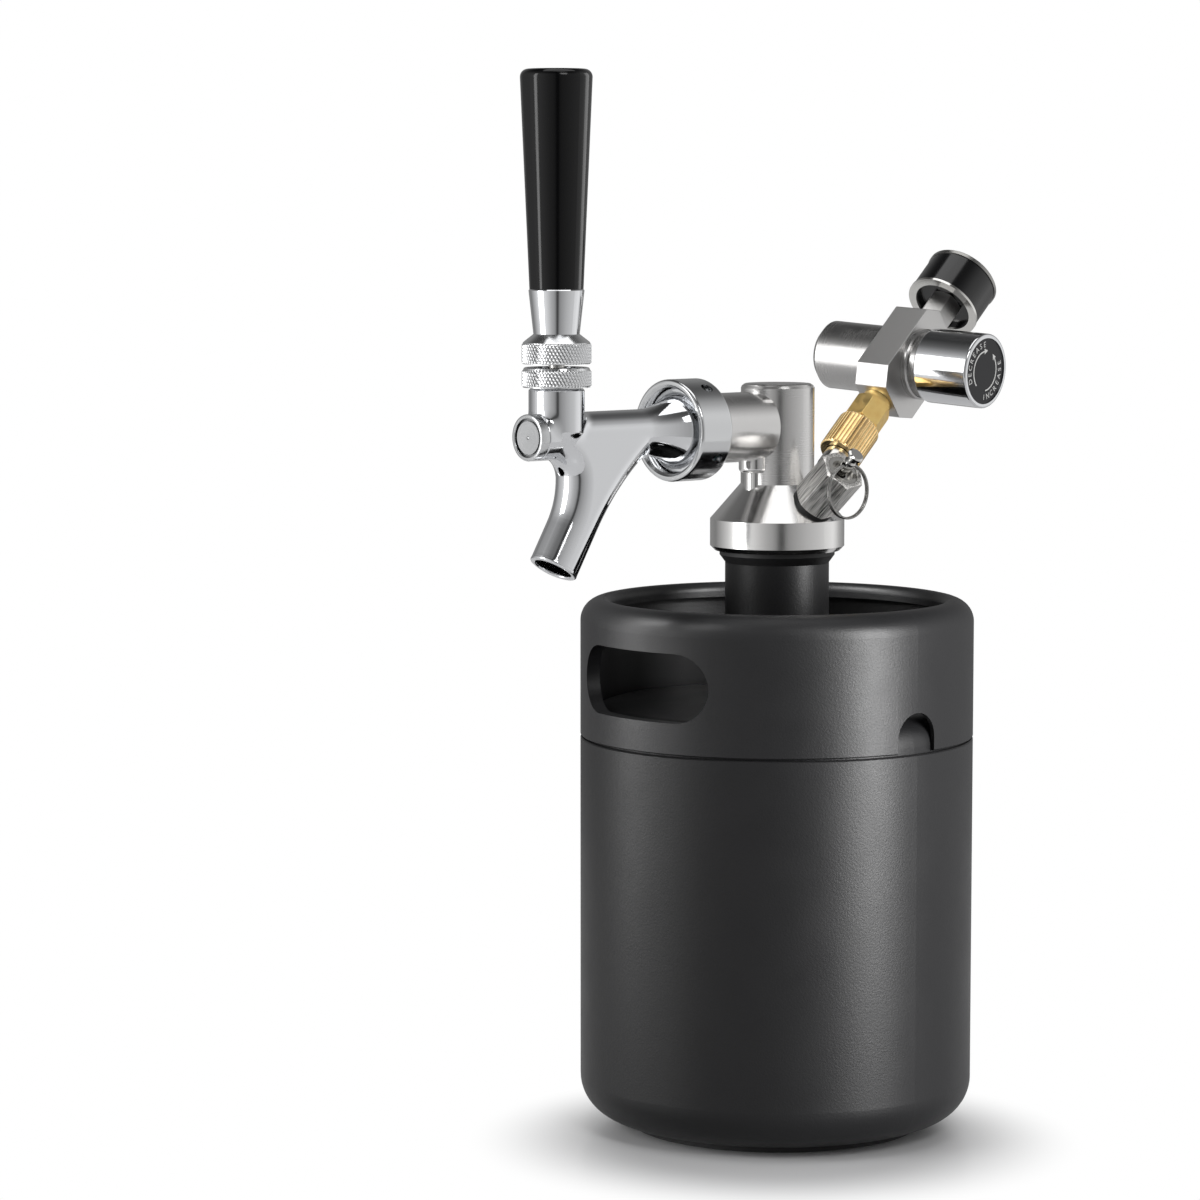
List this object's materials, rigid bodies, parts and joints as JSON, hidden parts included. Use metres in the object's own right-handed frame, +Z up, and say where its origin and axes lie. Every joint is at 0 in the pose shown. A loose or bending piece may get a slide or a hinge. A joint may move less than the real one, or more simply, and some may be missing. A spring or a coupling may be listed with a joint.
{
  "type": "mini keg beer dispenser",
  "caption": "Small pressurised keg with a screw-on cap, beer arm, lever tap, gas regulator with gauge and knob, and a pull-ring relief valve.",
  "frame": {"origin": "on the keg's axis, at floor level under the foot ring", "axes": "+Z up along the keg's axis, -Y the way the tap points, +X the side of the relief valve"},
  "size_m": [0.134, 0.2236, 0.3579],
  "materials": {
    "powder_coat": "satin black powder coat with a fine texture",
    "foot_rubber": "matte black rubber",
    "gasket_rubber": "semi-matte black rubber",
    "silicone": "translucent white silicone",
    "stainless": "lathe-turned and polished stainless steel",
    "tube_steel": "drawn stainless tube",
    "port_steel": "machined stainless steel",
    "faucet_chrome": "polished chrome plate on a cast body",
    "lever_steel": "turned stainless steel",
    "handle_plastic": "glossy black moulded plastic",
    "bright_brass": "machined bright brass",
    "regulator_metal": "satin machined metal",
    "spring_steel": "spring wire",
    "knob_chrome": "polished chrome",
    "disc_black": null,
    "gauge_black": "satin black enamel",
    "gauge_steel": "bright steel ring",
    "dial_white": "white dial with plain numbers and ticks",
    "needle_red": "red enamel",
    "lens_clear": "clear window",
    "pin_steel": "polished steel"
  },
  "bodies": {
    "keg": {"keg_shell": "powder_coat", "foot_ring": "foot_rubber", "keg_dome": "powder_coat", "keg_neck": "powder_coat", "top_skirt": "powder_coat"},
    "gasket": {"cap_gasket": "gasket_rubber"},
    "head": {"cap_body": "stainless", "cap_washer": "silicone", "column": "stainless", "column_cap": "stainless", "beer_arm": "stainless", "arm_prop": "stainless", "dip_tube": "tube_steel", "port_washer": "gasket_rubber", "gas_port": "port_steel", "relief_washer": "gasket_rubber", "relief_body": "port_steel", "relief_cap": "port_steel", "relief_seat": "gasket_rubber", "relief_spring": "spring_steel", "shank_washer": "gasket_rubber", "faucet_body": "faucet_chrome", "faucet_plug": "faucet_chrome", "friction_washer": "gasket_rubber", "faucet_bonnet": "faucet_chrome"},
    "coupling_nut": {"coupling_nut": "faucet_chrome"},
    "handle": {"lever": "lever_steel", "lever_collar": "faucet_chrome", "handle_ferrule": "faucet_chrome", "tap_handle": "handle_plastic"},
    "valve_shaft": {"valve_shaft": "lever_steel", "seat_washer": "gasket_rubber", "shaft_nut": "lever_steel"},
    "swivel_nut": {"swivel_nut": "bright_brass"},
    "regulator": {"gas_adapter": "bright_brass", "regulator_block": "regulator_metal", "cartridge_socket": "regulator_metal", "cartridge_seal": "gasket_rubber", "piercing_pin": "lever_steel", "regulator_bonnet": "regulator_metal", "regulator_piston": "bright_brass", "range_spring": "spring_steel", "gauge_stem": "port_steel", "gauge_back_ring": "gauge_steel", "gauge_case": "gauge_black", "gauge_dial": "dial_white", "gauge_bezel": "gauge_steel", "gauge_lens": "lens_clear"},
    "knob": {"pressure_knob": "knob_chrome", "knob_disc": "disc_black", "adjusting_screw": "lever_steel"},
    "needle": {"gauge_needle": "needle_red"},
    "relief_pin": {"relief_pin": "pin_steel"},
    "pull_ring": {"pull_ring": "pin_steel"}
  },
  "joints": [
    {"name": "cap_lift", "type": "slide", "parent": "keg", "child": "gasket", "axis": [0, 0, 1], "range_m": [0, 0.0075]},
    {"name": "cap_turn", "type": "hinge", "parent": "gasket", "child": "head", "pos_m": [0, 0, 0.2], "axis": [0, 0, 1], "range_deg": [0, 900]},
    {"name": "coupling_nut_spin", "type": "hinge", "parent": "head", "child": "coupling_nut", "pos_m": [0, -0.0435, 0.2398], "axis": [0, -1, 0], "continuous": true},
    {"name": "handle_tilt", "type": "hinge", "parent": "head", "child": "handle", "pos_m": [0, -0.0993, 0.2543], "axis": [1, 0, 0], "range_deg": [0, 26]},
    {"name": "valve_slide", "type": "slide", "parent": "head", "child": "valve_shaft", "axis": [0, 1, 0], "range_m": [0, 0.0064]},
    {"name": "swivel_nut_spin", "type": "hinge", "parent": "head", "child": "swivel_nut", "pos_m": [-0.0044, 0.03863, 0.23239], "axis": [-0.0857, 0.7524, 0.6531], "continuous": true},
    {"name": "regulator_swivel", "type": "hinge", "parent": "head", "child": "regulator", "pos_m": [-0.00543, 0.04766, 0.24022], "axis": [-0.0857, 0.7524, 0.6531], "continuous": true},
    {"name": "knob_turn", "type": "hinge", "parent": "regulator", "child": "knob", "pos_m": [-0.0079, 0.06932, 0.25904], "axis": [0.9833, 0.1693, -0.066], "range_deg": [0, 720]},
    {"name": "needle_sweep", "type": "hinge", "parent": "regulator", "child": "needle", "pos_m": [-0.01147, 0.1007, 0.28627], "axis": [0.0857, -0.7524, -0.6531], "range_deg": [0, 270], "stiffness_Nm_per_rad": 0.00002},
    {"name": "relief_pull", "type": "slide", "parent": "head", "child": "relief_pin", "axis": [0.7572, 0, 0.6531], "range_m": [0, 0.003], "stiffness_N_per_m": 1500, "springref_m": -0.002, "deforming": ["relief_spring"]},
    {"name": "pull_ring_swing", "type": "hinge", "parent": "relief_pin", "child": "pull_ring", "pos_m": [0.03388, 0, 0.22808], "axis": [0, -1, 0], "range_deg": [-2, 120]}
  ],
  "couplings": [
    {"joint": "cap_lift", "follows": "cap_turn", "m_per_rad": 0.00047746},
    {"joint": "valve_slide", "follows": "handle_tilt", "m_per_rad": 0.014007}
  ]
}
